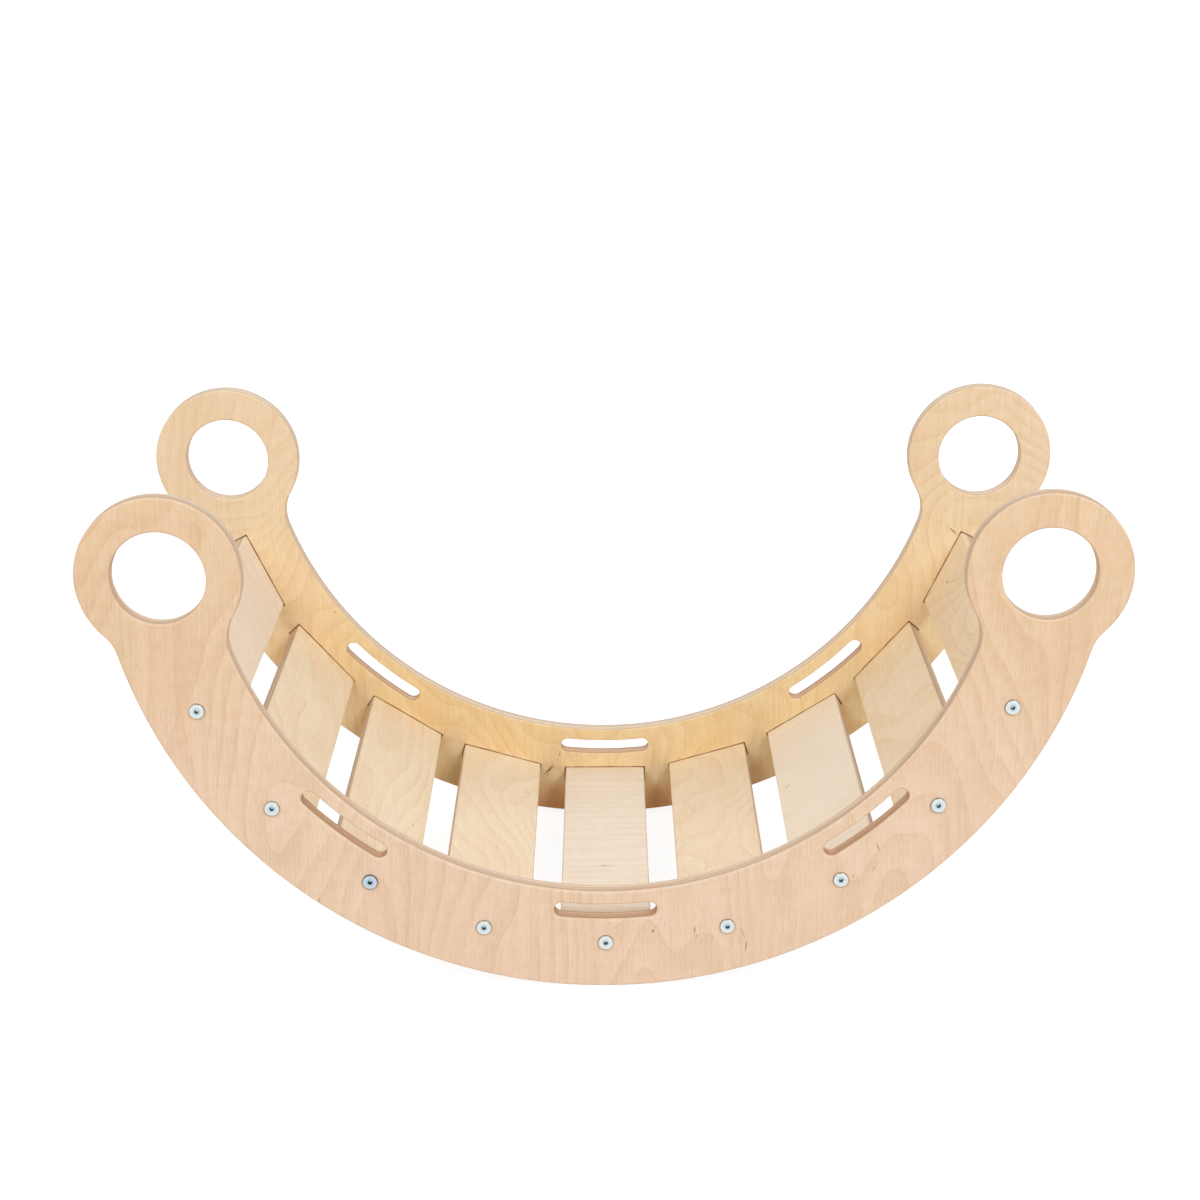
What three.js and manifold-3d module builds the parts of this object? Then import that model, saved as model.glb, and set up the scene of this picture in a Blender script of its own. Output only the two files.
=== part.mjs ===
// Wooden arch rocker for children, in millimetres, with +Z up and +X along its length.
// Two curved plywood side panels, with a ring at each end, carry nine flat slats between them.
// Each slat end sits in a shallow housing and is drawn up by a bolt into a barrel nut.
// The origin is on the floor, below the middle of the rocker.

import * as THREE from 'three';
import { mergeVertices, toCreasedNormals } from 'three/addons/utils/BufferGeometryUtils.js';
import Module from 'manifold-3d';

const wasm = await Module();
wasm.setup();

const degree = Math.PI / 180;
const quarterTurn = Math.PI / 2;
const halfTurn = Math.PI;

// Side panels: an arc band that rolls on its outer edge
const runnerRadius = 486;
const bandDepth = 103.5;
const panelThickness = 18;
const panelEdgeRound = 3;
const outerWidth = 456;

// End rings, placed by how far their centres lie inside the runner's circle
const ringRadius = 80;
const ringHoleRadius = 46;
const ringInset = 58;
const ringTurn = 82.9 * degree;
const innerNeckRadius = 44;
const outerNeckRadius = 40;

// Hand slots, measured along and across their middle line
const slotLength = 103;
const slotWidth = 16;
const slotInset = 21.5;
const sideSlotTurn = 39.8 * degree;

// Slats, and the housings that hold their ends
const slatCount = 9;
const slatPitch = 16.16 * degree;
const slatInset = 49;
const slatWidth = 92;
const slatThickness = 15;
const slatEdgeRound = 3;
const housingDepth = 6;
const housingClearance = 0.8;

// Flat-head bolts
const shankRadius = 3;
const headRadius = 7.5;
const headHeight = 2.4;
const headChamfer = 0.8;
const tipChamfer = 0.8;
const tipReach = 4;
const hexAcrossFlats = 4;
const hexDepth = 3.2;
const boltClearance = 0.4;

// Barrel nuts
const nutRadius = 5;
const nutLength = 10;
const nutSetback = 30;
const driverSlotWidth = 1.4;
const driverSlotDepth = 1.2;

// Gaps and overruns shared by every fit and cut
const seatGap = 0.3;
const boreRunout = 3;
const cutOverrun = 2;

// Facets: angles between the points of an arc, and numbers of sides
const bandStep = 3 * degree;
const ringStep = 10 * degree;
const neckStep = 12 * degree;
const slotEndStep = 30 * degree;
const slatCornerStep = 45 * degree;
const edgeRoundFacets = 2;
const boltSides = 12;
const hexSides = 6;
const boltHoleSides = 8;
const nutSides = 12;
const creaseAngle = 35 * degree;

// Radii about the centre of the arch, and angles from straight down
const bandInnerRadius = runnerRadius - bandDepth;
const ringCentreRadius = runnerRadius - ringInset;
const slotRadius = bandInnerRadius + slotInset;
const slatRadius = runnerRadius - slatInset;
const straightDown = -quarterTurn;
const outerNeck = neck(runnerRadius + outerNeckRadius, ringRadius + outerNeckRadius);
const innerNeck = neck(bandInnerRadius - innerNeckRadius, ringRadius + innerNeckRadius);

// The runner has a facet at its very bottom, which lies on the floor.
const archCentre = new THREE.Vector2(0, runnerRadius * Math.cos(middleFacet(outerNeck.turn) / 2));

// Lengths across the rocker
const panelInnerFace = outerWidth / 2 - panelThickness;
const slatLength = 2 * (panelInnerFace + housingDepth - seatGap);
const nutPlace = slatLength / 2 - nutSetback;
const boltSeat = outerWidth / 2 + seatGap;
const boltLength = boltSeat - nutPlace + nutRadius + tipReach;
const boltHoleRadius = shankRadius + boltClearance;

const panelMaterial = new THREE.MeshStandardMaterial({ color: 0xe9c9a6, roughness: 0.6, metalness: 0 });
const slatMaterial = new THREE.MeshStandardMaterial({ color: 0xeeddc4, roughness: 0.62, metalness: 0 });
const boltMaterial = new THREE.MeshStandardMaterial({ color: 0xd3dade, roughness: 0.3, metalness: 1 });
const nutMaterial = new THREE.MeshStandardMaterial({ color: 0xb9bdb8, roughness: 0.42, metalness: 1 });

// Centre of a neck fillet, given how far it lies from the centres of the arch and of the ring.
function neck(toArch, toRing) {
  const between = (ringCentreRadius ** 2 + toArch ** 2 - toRing ** 2) / (2 * ringCentreRadius * toArch);
  return { radius: toArch, turn: ringTurn - Math.acos(between) };
}

// Angle of each facet of an arc that has one facet centred at the bottom.
function middleFacet(turn) {
  return 2 * turn / (2 * Math.round(turn / bandStep) + 1);
}

// A point in the panel's plane, by distance from the arch's centre and angle from straight down.
function pointAt(radius, turn) {
  const angle = straightDown + turn;
  return new THREE.Vector2(radius * Math.cos(angle), radius * Math.sin(angle)).add(archCentre);
}

function direction(from, to) {
  return Math.atan2(to.y - from.y, to.x - from.x);
}

// Points of an arc with both its ends, in steps of about the angle given.
function arc(centre, radius, from, to, step) {
  const count = Math.max(1, Math.round(Math.abs(to - from) / step));
  const points = [];
  for (let i = 0; i <= count; i += 1) {
    const angle = from + (to - from) * i / count;
    points.push(new THREE.Vector2(Math.cos(angle), Math.sin(angle)).multiplyScalar(radius).add(centre));
  }
  return points;
}

// Joins arcs that meet end to end into one list without repeated points.
function chain(...arcs) {
  return arcs.flatMap((points, i) => (i === 0 ? points : points.slice(1)));
}

function circle(centre, radius, step) {
  return arc(centre, radius, 0, 2 * halfTurn, step).slice(1);
}

// The same angle as the one given, at or after the start.
function after(angle, start) {
  const full = 2 * halfTurn;
  return start + ((angle - start) % full + full) % full;
}

// Half of the panel's outline, from the runner's middle round the ring to the inner edge's middle.
function halfOutline() {
  const ring = pointAt(ringCentreRadius, ringTurn);
  const outer = pointAt(outerNeck.radius, outerNeck.turn);
  const inner = pointAt(innerNeck.radius, innerNeck.turn);
  const runnerFacet = middleFacet(outerNeck.turn);
  const innerFacet = middleFacet(innerNeck.turn);

  const runnerEnd = straightDown + outerNeck.turn;
  const runner = arc(archCentre, runnerRadius, straightDown + runnerFacet / 2, runnerEnd, runnerFacet);

  const outerStart = direction(outer, archCentre);
  const outerEnd = -after(-direction(outer, ring), -outerStart);
  const outerFillet = arc(outer, outerNeckRadius, outerStart, outerEnd, neckStep);

  const ringStart = direction(ring, outer);
  const ringEnd = after(direction(ring, inner), ringStart);
  const ringEdge = arc(ring, ringRadius, ringStart, ringEnd, ringStep);

  const innerStart = direction(inner, ring);
  const innerEnd = -after(-direction(archCentre, inner), -innerStart);
  const innerFillet = arc(inner, innerNeckRadius, innerStart, innerEnd, neckStep);

  const edgeStart = straightDown + innerNeck.turn;
  const edge = arc(archCentre, bandInnerRadius, edgeStart, straightDown + innerFacet / 2, innerFacet);
  return chain(runner, outerFillet, ringEdge, innerFillet, edge);
}

function slotOutline(turn) {
  const halfSpan = (slotLength - slotWidth) / 2 / slotRadius;
  const halfWidth = slotWidth / 2;
  const low = straightDown + turn - halfSpan;
  const high = straightDown + turn + halfSpan;
  return chain(
    arc(archCentre, slotRadius + halfWidth, low, high, bandStep),
    arc(pointAt(slotRadius, turn + halfSpan), halfWidth, high, high + halfTurn, slotEndStep),
    arc(archCentre, slotRadius - halfWidth, high, low, bandStep),
    arc(pointAt(slotRadius, turn - halfSpan), halfWidth, low - halfTurn, low, slotEndStep),
  ).slice(1);
}

function panelShape() {
  const half = halfOutline();
  const mirrored = half.map((point) => new THREE.Vector2(-point.x, point.y)).reverse();
  const shape = new THREE.Shape([...half, ...mirrored]);
  for (const side of [-1, 1]) {
    const centre = pointAt(ringCentreRadius, side * ringTurn);
    shape.holes.push(new THREE.Path(circle(centre, ringHoleRadius, ringStep)));
  }
  for (const turn of [-sideSlotTurn, 0, sideSlotTurn]) {
    shape.holes.push(new THREE.Path(slotOutline(turn)));
  }
  return shape;
}

function solid(geometry) {
  const bare = geometry.clone();
  bare.deleteAttribute('normal');
  bare.deleteAttribute('uv');
  const merged = mergeVertices(bare);
  const vertProperties = new Float32Array(merged.attributes.position.array);
  const triVerts = new Uint32Array(merged.index.array);
  return new wasm.Manifold(new wasm.Mesh({ numProp: 3, vertProperties, triVerts }));
}

function cut(body, ...tools) {
  return tools.reduce((left, tool) => left.subtract(solid(tool)), body);
}

function geometryOf(body) {
  const mesh = body.getMesh();
  const geometry = new THREE.BufferGeometry();
  geometry.setAttribute('position', new THREE.BufferAttribute(new Float32Array(mesh.vertProperties), 3));
  geometry.setIndex(new THREE.BufferAttribute(new Uint32Array(mesh.triVerts), 1));
  return toCreasedNormals(geometry, creaseAngle);
}

// A board centred on the origin: width along X, length along Y, thickness along Z, long edges rounded.
function board(width, length, thickness, round) {
  const x = width / 2 - round;
  const z = thickness / 2 - round;
  const corners = [[x, z], [-x, z], [-x, -z], [x, -z]];
  const points = corners.flatMap(([cx, cz], i) => {
    const start = i * quarterTurn;
    return arc(new THREE.Vector2(cx, cz), round, start, start + quarterTurn, slatCornerStep);
  });
  const geometry = new THREE.ExtrudeGeometry(new THREE.Shape(points), { depth: length, bevelEnabled: false });
  return geometry.translate(0, 0, -length / 2).rotateX(quarterTurn);
}

function rod(radius, length, sides) {
  return new THREE.CylinderGeometry(radius, radius, length, sides);
}

// A round cutter along Y whose flats lie at the radius, so that what fits the hole clears every side.
function drill(radius, length, sides) {
  return rod(radius / Math.cos(halfTurn / sides), length, sides);
}

// Moves a shape from the slat's own place to the station at this angle, as stationGroup does.
function atStation(geometry, turn) {
  const place = pointAt(slatRadius, turn);
  return geometry.rotateY(-turn).translate(place.x, 0, place.y);
}

// The panel lies in XZ, with its inner face, which has the housings, at Y = 0 and its outer face at -Y.
function panelGeometry() {
  const blank = new THREE.ExtrudeGeometry(panelShape(), {
    depth: panelThickness - 2 * panelEdgeRound,
    bevelThickness: panelEdgeRound,
    bevelSize: panelEdgeRound,
    bevelOffset: -panelEdgeRound,
    bevelSegments: edgeRoundFacets,
  });
  blank.translate(0, 0, panelEdgeRound).rotateX(quarterTurn);

  const housingLength = housingDepth + cutOverrun;
  let body = solid(blank);
  for (const turn of slatTurns()) {
    const housing = board(
      slatWidth + 2 * housingClearance,
      housingLength,
      slatThickness + 2 * housingClearance,
      slatEdgeRound + housingClearance,
    );
    housing.translate(0, housingLength / 2 - housingDepth, 0);
    const boltHole = drill(boltHoleRadius, panelThickness + 2 * cutOverrun, boltHoleSides);
    boltHole.translate(0, -panelThickness / 2, 0);
    body = cut(body, atStation(housing, turn), atStation(boltHole, turn));
  }
  return geometryOf(body);
}

// The slat has its top, the side the child sits on, at +Z, and its nut bores open at -Z.
function slatGeometry() {
  const boltDepth = slatLength / 2 - nutPlace + nutRadius + tipReach + boreRunout;
  const boreRadius = nutRadius + seatGap;
  const boreTop = nutLength / 2 + seatGap;
  const boreLength = boreTop + slatThickness / 2 + cutOverrun;
  let body = solid(board(slatWidth, slatLength, slatThickness, slatEdgeRound));
  for (const side of [-1, 1]) {
    const boltHole = drill(boltHoleRadius, boltDepth + cutOverrun, boltHoleSides);
    boltHole.translate(0, side * (slatLength / 2 + cutOverrun - (boltDepth + cutOverrun) / 2), 0);
    const nutBore = drill(boreRadius, boreLength, nutSides).rotateX(quarterTurn);
    nutBore.translate(0, side * nutPlace, boreTop - boreLength / 2);
    body = cut(body, boltHole, nutBore);
  }
  return geometryOf(body);
}

// The bolt lies along Y, with the underside of its head at Y = 0 and its head towards -Y.
function boltGeometry() {
  const profile = [
    [0, -headHeight],
    [headRadius - headChamfer, -headHeight],
    [headRadius, headChamfer - headHeight],
    [headRadius, 0],
    [shankRadius, 0],
    [shankRadius, boltLength - tipChamfer],
    [shankRadius - tipChamfer, boltLength],
    [0, boltLength],
  ].map(([radius, along]) => new THREE.Vector2(radius, along));
  const socket = drill(hexAcrossFlats / 2, hexDepth + cutOverrun, hexSides);
  socket.translate(0, (hexDepth - cutOverrun) / 2 - headHeight, 0);
  return geometryOf(cut(solid(new THREE.LatheGeometry(profile, boltSides)), socket));
}

// The nut stands along Z, crossed by its bolt's hole along Y, with a driver slot in its lower end.
function nutGeometry() {
  const barrel = rod(nutRadius, nutLength, nutSides).rotateX(quarterTurn);
  const crossHole = drill(shankRadius + seatGap, 2 * nutRadius + 2 * cutOverrun, boltHoleSides);
  const driverSlot = new THREE.BoxGeometry(
    driverSlotWidth,
    2 * nutRadius + 2 * cutOverrun,
    driverSlotDepth + cutOverrun,
  );
  driverSlot.translate(0, 0, (driverSlotDepth - cutOverrun) / 2 - nutLength / 2);
  return geometryOf(cut(solid(barrel), crossHole, driverSlot));
}

// Angles of the slats from straight down, from the -X end to the +X end.
function slatTurns() {
  return Array.from({ length: slatCount }, (_, i) => (i - (slatCount - 1) / 2) * slatPitch);
}

function named(name, geometry, material) {
  const mesh = new THREE.Mesh(geometry, material);
  mesh.name = name;
  return mesh;
}

function sidePanels() {
  const geometry = panelGeometry();
  const front = named('side_panel_front', geometry, panelMaterial);
  front.position.y = -panelInnerFace;
  const rear = named('side_panel_rear', geometry, panelMaterial);
  rear.position.y = panelInnerFace;
  rear.rotation.z = halfTurn;
  return [front, rear];
}

// One slat with its bolts and nuts, turned to its place in the arch.
function stationGroup(number, turn, shapes) {
  const group = new THREE.Group();
  const place = pointAt(slatRadius, turn);
  group.position.set(place.x, 0, place.y);
  group.rotation.y = -turn;
  group.add(named(`slat_${number}`, shapes.slat, slatMaterial));
  for (const [end, side] of [['front', -1], ['rear', 1]]) {
    const bolt = named(`bolt_${end}_${number}`, shapes.bolt, boltMaterial);
    bolt.position.y = side * boltSeat;
    bolt.rotation.z = side === 1 ? halfTurn : 0;
    const nut = named(`barrel_nut_${end}_${number}`, shapes.nut, nutMaterial);
    nut.position.y = side * nutPlace;
    group.add(bolt, nut);
  }
  return group;
}

function rocker() {
  const group = new THREE.Group();
  const shapes = { slat: slatGeometry(), bolt: boltGeometry(), nut: nutGeometry() };
  group.add(...sidePanels());
  slatTurns().forEach((turn, i) => group.add(stationGroup(i + 1, turn, shapes)));
  return group;
}

export default rocker();
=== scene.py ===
# Wooden arch rocker for children, in metres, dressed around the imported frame.
# Two curved birch plywood panels with ring ends carry nine slats, drawn up by zinc bolts and barrel nuts.
import math

import bmesh
import bpy
from mathutils import Matrix, Vector
from mathutils.geometry import tessellate_polygon


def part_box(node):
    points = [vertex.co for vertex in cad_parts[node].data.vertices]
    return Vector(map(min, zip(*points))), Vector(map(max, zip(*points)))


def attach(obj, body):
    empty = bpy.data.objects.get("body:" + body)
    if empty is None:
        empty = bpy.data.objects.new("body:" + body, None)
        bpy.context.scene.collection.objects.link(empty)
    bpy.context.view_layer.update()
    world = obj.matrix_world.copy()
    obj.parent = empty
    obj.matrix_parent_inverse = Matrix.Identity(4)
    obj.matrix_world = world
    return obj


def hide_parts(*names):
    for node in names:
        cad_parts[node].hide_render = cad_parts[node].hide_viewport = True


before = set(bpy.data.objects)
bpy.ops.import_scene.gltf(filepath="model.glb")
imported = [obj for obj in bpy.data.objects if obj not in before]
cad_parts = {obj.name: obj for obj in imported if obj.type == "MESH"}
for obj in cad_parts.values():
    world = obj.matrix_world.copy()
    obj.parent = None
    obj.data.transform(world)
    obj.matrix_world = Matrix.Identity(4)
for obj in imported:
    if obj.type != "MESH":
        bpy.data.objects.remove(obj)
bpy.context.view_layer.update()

BODY = "root"
ENDS = {"front": -1, "rear": 1}     # which way each end lies along Y
QUARTER_TURN = math.pi / 2
FULL_TURN = 2 * math.pi
STRAIGHT_DOWN = -QUARTER_TURN

# Panel outline, measured about the centre of the arch
RUNNER_RADIUS = 0.486
BAND_DEPTH = 0.1035
RING_RADIUS = 0.080
RING_HOLE_RADIUS = 0.046
RING_INSET = 0.058
RING_TURN = math.radians(82.9)
INNER_NECK_RADIUS = 0.044
OUTER_NECK_RADIUS = 0.040
SLOT_LENGTH = 0.103
SLOT_WIDTH = 0.016
SLOT_INSET = 0.0215
SIDE_SLOT_TURN = math.radians(39.8)
PANEL_EDGE_ROUND = 0.0018
PANEL_PLIES = 13

# Slats and the housings that hold their ends
SLAT_INSET = 0.049
SLAT_EDGE_ROUND = 0.002
SLAT_PLIES = 11
HOUSING_DEPTH = 0.006
HOUSING_SIDE_CLEARANCE = 0.0008
HOUSING_TOP_CLEARANCE = 0.0006

# Bolts and barrel nuts
SHANK_RADIUS = 0.003
BOLT_CLEARANCE = 0.0004
HEAD_RADIUS = 0.0075
HEAD_HEIGHT = 0.0024
HEAD_ROUND = 0.0009
TIP_CHAMFER = 0.0008
HEX_ACROSS_FLATS = 0.004
HEX_RADIUS = HEX_ACROSS_FLATS / 2 / math.cos(math.pi / 6)
HEX_DEPTH = 0.0032
NUT_CHAMFER = 0.0004
NUT_CLEARANCE = 0.0003
DRIVER_SLOT_WIDTH = 0.0014
DRIVER_SLOT_DEPTH = 0.0012
CUT_OVERRUN = 0.002

# Fineness of the curves
BAND_STEP = math.radians(0.75)
RING_STEP = math.radians(3)
SLOT_END_STEP = math.radians(10)
CORNER_STEP = math.radians(15)
EDGE_STEPS = 6
ROUND_SIDES = 48
SHARP_ANGLE = math.radians(32)
FLAT_FACING = 1 - 1e-4

# Sizes and places that the frame gives
panel_low, panel_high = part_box("side_panel_front")
slat_low, slat_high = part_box("slat_5")
nut_low, nut_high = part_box("barrel_nut_front_5")
bolt_low, bolt_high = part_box("bolt_front_5")
PANEL_THICKNESS = panel_high.y - panel_low.y
SLAT_WIDTH = slat_high.x - slat_low.x
SLAT_LENGTH = slat_high.y - slat_low.y
SLAT_THICKNESS = slat_high.z - slat_low.z
NUT_RADIUS = (nut_high.y - nut_low.y) / 2
NUT_LENGTH = nut_high.z - nut_low.z
NUT_PLACE = -(nut_high.y + nut_low.y) / 2
BOLT_SEAT = -bolt_low.y - HEAD_HEIGHT
BOLT_LENGTH = bolt_high.y - bolt_low.y - HEAD_HEIGHT
SLAT_RADIUS = RUNNER_RADIUS - SLAT_INSET
ARCH_CENTRE = Vector((0, (slat_low.z + slat_high.z) / 2 + SLAT_RADIUS))
SLAT_NUMBERS = range(1, sum(name.startswith("slat_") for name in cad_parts) + 1)


def slat_turns():
    """The angle of each slat from straight down, from its front bolt."""
    turns = []
    for number in SLAT_NUMBERS:
        low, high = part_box(f"bolt_front_{number}")
        middle = (low + high) / 2
        turns.append(math.atan2(middle.x, ARCH_CENTRE.y - middle.z))
    return turns


SLAT_PITCH = (slat_turns()[-1] - slat_turns()[0]) / (len(SLAT_NUMBERS) - 1)

# The photograph's camera
CAMERA_PLACE = (-0.000857, -2.330667, 1.109170)
CAMERA_YAW = math.radians(-0.0827)
CAMERA_PITCH = math.radians(18.397)
CAMERA_ROLL = math.radians(-0.3159)
CAMERA_LENS = 69.755
CAMERA_SENSOR = 36

# Light and ground
SKY_STRENGTH = 0.56
SKY_COLOUR = (255, 244, 232)
FLOOR_SIZE = 60
FLOOR_LEVEL = ARCH_CENTRE.y - RUNNER_RADIUS
FLOOR_COLOUR = (213, 190, 163)
FLOOR_GLOW = 0.86
FLOOR_MATT = (0.33, 0.37, 0.42, 1)
SOFTBOXES = {
    "softbox_left": {"place": (-2.5, -3.8, 3.7), "size": 2.0, "power": 77, "colour": (0.95, 1.06, 1.20)},
    "softbox_right": {"place": (2.5, -3.8, 3.7), "size": 2.0, "power": 113, "colour": (0.95, 1.08, 1.25)},
    "softbox_back": {"place": (0.0, 4.6, 1.4), "size": 2.5, "power": 30, "colour": (0.95, 1.07, 1.22)},
}
LIGHT_TARGET = Vector((0, 0, 0.25))

# Wood colours, as red, green and blue from 0 to 255: pale wood, deep wood and a blush over parts of it
PANEL_OUTER = ((244, 220, 195), (229, 199, 167), (237, 202, 178))
PANEL_INNER = ((244, 220, 172), (234, 200, 145), (231, 190, 129))
PANEL_OUTER_ENDS = ((240, 212, 178), (224, 192, 155), (230, 193, 155))
PANEL_INNER_ENDS = ((243, 221, 187), (233, 205, 167), (231, 197, 156))
SLAT_WARM = ((252, 235, 204), (245, 218, 180), (247, 215, 172))
SLAT_DEEP = ((254, 236, 205), (247, 219, 179), (248, 213, 168))
SLAT_PALE = ((246, 232, 212), (239, 218, 192), (240, 215, 189))
SLAT_FAIR = ((249, 231, 201), (242, 215, 178), (243, 212, 170))
SLAT_WHITE = ((254, 243, 223), (253, 234, 207), (252, 229, 202))
SLAT_TAN = ((254, 240, 221), (247, 225, 199), (248, 219, 191))
CUT_EDGE = ((250, 230, 202), (208, 174, 140))
ROUTED_EDGE = ((240, 206, 164), (194, 150, 104))
GLUE_LINE = (170, 126, 90)
FIGURE_LINE = (222, 166, 112)
FLECK = (150, 84, 40)
# Painted shade: a dark line round each housing's mouth, and on the slats' ends inside the joints
GAP_SHADE = (158, 96, 44)
# Painted warm shade, low on the panels' inner faces under the slats
PAINTED_WARM_SHADE = (236, 166, 102)
# Painted shade in the housings' walls and floors: less deep and deep
GAP_SHADE_BROWN = (150, 96, 50)
DEEP_GAP_SHADE = (96, 56, 26)

# Zinc colours: bright face, its middle, the painted shade on the rim and the painted shade in the socket
BOLT_ZINC = ((215, 220, 216), (193, 205, 206), (176, 172, 160), (120, 134, 136))
BLUE_ZINC = ((194, 204, 213), (172, 188, 202), (104, 102, 106), (76, 96, 104))
NUT_ZINC = ((196, 199, 194), (190, 194, 190), (120, 122, 118), (60, 62, 60))

WHITE = (1, 1, 1, 1)

# Patterns of the wood: waves per metre across the grain, along it and through the plies, detail, roughness
PATTERNS = {
    "sway": ((3, 1.2, 1), 1, 0.5),
    "ripple": ((24, 10, 1), 3, 0.5),
    "breaks": ((40, 9, 1), 3, 0.5),
    "mottle": ((17, 8, 1), 3, 0.55),
    "flame": ((60, 110, 1), 2, 0.5),
    "bands": ((90, 1.8, 1), 2, 0.6),
    "streaks": ((620, 9, 1), 3, 0.65),
    "fibres": ((1000, 70, 1), 2, 0.6),
    "patches": ((16, 4, 1), 3, 0.5),
    "ragged": ((500, 160, 1), 2, 0.5),
    "edge_pores": ((600, 600, 1), 2, 0.5),
    "edge_drift": ((9, 9, 1), 2, 0.5),
    "glue_patches": ((7, 7, 1), 2, 0.5),
    "cutter": ((300, 900, 300), 3, 0.5),
}
PORE_SCALE = (520, 70, 1)
# Size of the patches in the painted shadow line round the housings
ARRIS_SHADE_SCALE = 70
HILL_DETAIL = 1.5
HILL_ROUGHNESS = 0.4

# Patterns of the zinc and of the floor, in waves per metre
CLOUD_SCALE = 420
TURNING_SCALE = 4200
GRIT_SCALE = 40
GRIT_STRENGTH = 0.1

# Where a pattern sets in and where it is full, then the least and the most that it gives if not 0 and 1
SEASON_SPAN = (0.2, 1.0)
BREAK_SPAN = (0.34, 0.66)
PATCH_SPAN = (0.4, 0.8)
PORE_REACH = (0.06, 0.3)
PORE_CHOICE = (0.72, 0.95)
BOND_SPAN = (0.35, 0.8, 0.25, 1.0)
GLUE_PATCH_SPAN = (0.2, 0.6, 0.45, 1.0)
GLUE_REACH = (0.08, 0.3)
FACE_TILT = (0.1, 0.5)
# Painted shadow line round the housings: where its patches set in and are full, and its least and most
ARRIS_SHADE_SPAN = (0.35, 0.65, 0.3, 1.0)
# Painted warm shade: the heights where it sets in and where it is full
WARM_SHADE_HEIGHTS = (0.046, 0.022)

# Lines and marks in the wood, and painted shade at the joints and round the bolt heads: sizes in metres,
# strengths as shares
RING_PROBE = 0.0005
RING_LINE_WIDTH = 0.0018
# Widths of the painted shadow line round each housing and of the painted shade on the slats' buried ends
ARRIS_SHADE_WIDTH = 0.0012
BURIED_SHADE_WIDTH = 0.0004
# Width of the bolt heads' print with its painted contact shadow
HEAD_PRINT_AND_SHADOW = 0.0006
MARK_RAGGEDNESS = 0.0012
MARK_CORE = 0.2
# Strength of the painted warm shade
WARM_SHADE_STRENGTH = 0.5
# Strength of the bolt heads' print with its painted contact shadow
HEAD_PRINT_AND_SHADOW_STRENGTH = 0.5

# Where the tone lies between pale and deep before the patterns move it, on faces and on cut edges
FACE_DEPTH = 0.45
EDGE_LOOK = {"depth": 0.32, "end_grain": 0.4, "ply": 1.5, "pores": 0.5, "drift": 1.2}

# How far the figure moves from one seed, face, ply or glue line to the next
SEED_SHIFT = 0.37
FACE_SHIFT = 7.3
LAYER_SHIFT = 3.1
GLUE_SHIFT = 5.3

# Finish: roughness, specular level, and the strength and height in metres of the relief
WOOD_ROUGHNESS = 0.48
FIBRE_ROUGHNESS = 0.16
WOOD_SPECULAR = 0.35
WOOD_RELIEF = (0.25, 0.0002)
GLUE_RELIEF = -0.6
HOUSING_ROUGHNESS = 0.7
HOUSING_SPECULAR = 0.05
HOUSING_RELIEF = (0.3, 0.0002)
ZINC_ROUGHNESS = 0.24
CLOUD_ROUGHNESS = 0.2
CLOUD_SWING = 0.2
ZINC_RELIEF = (0.2, 0.00005)

# Shares of the rim's and the socket's radius between which the zinc changes its tone; in the socket it goes
# from painted shade to a painted highlight at the middle
BRIGHT_SHARES = (0.5, 0.75)
SOCKET_GLINT_SHARES = (0.7, 0.3)
SOCKET_SHARES = (1.04, 0.96)

# Sockets of the mix node for colours
MIX_SHARE, MIX_A, MIX_B, MIX_RESULT = 0, 6, 7, 2


def srgb(colour):
    """A colour from 0 to 255 as the linear colour that Blender's sockets take, by the sRGB curve."""
    def linear(value):
        share = value / 255
        return share / 12.92 if share <= 0.04045 else ((share + 0.055) / 1.055) ** 2.4
    return (*(linear(value) for value in colour), 1)


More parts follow.
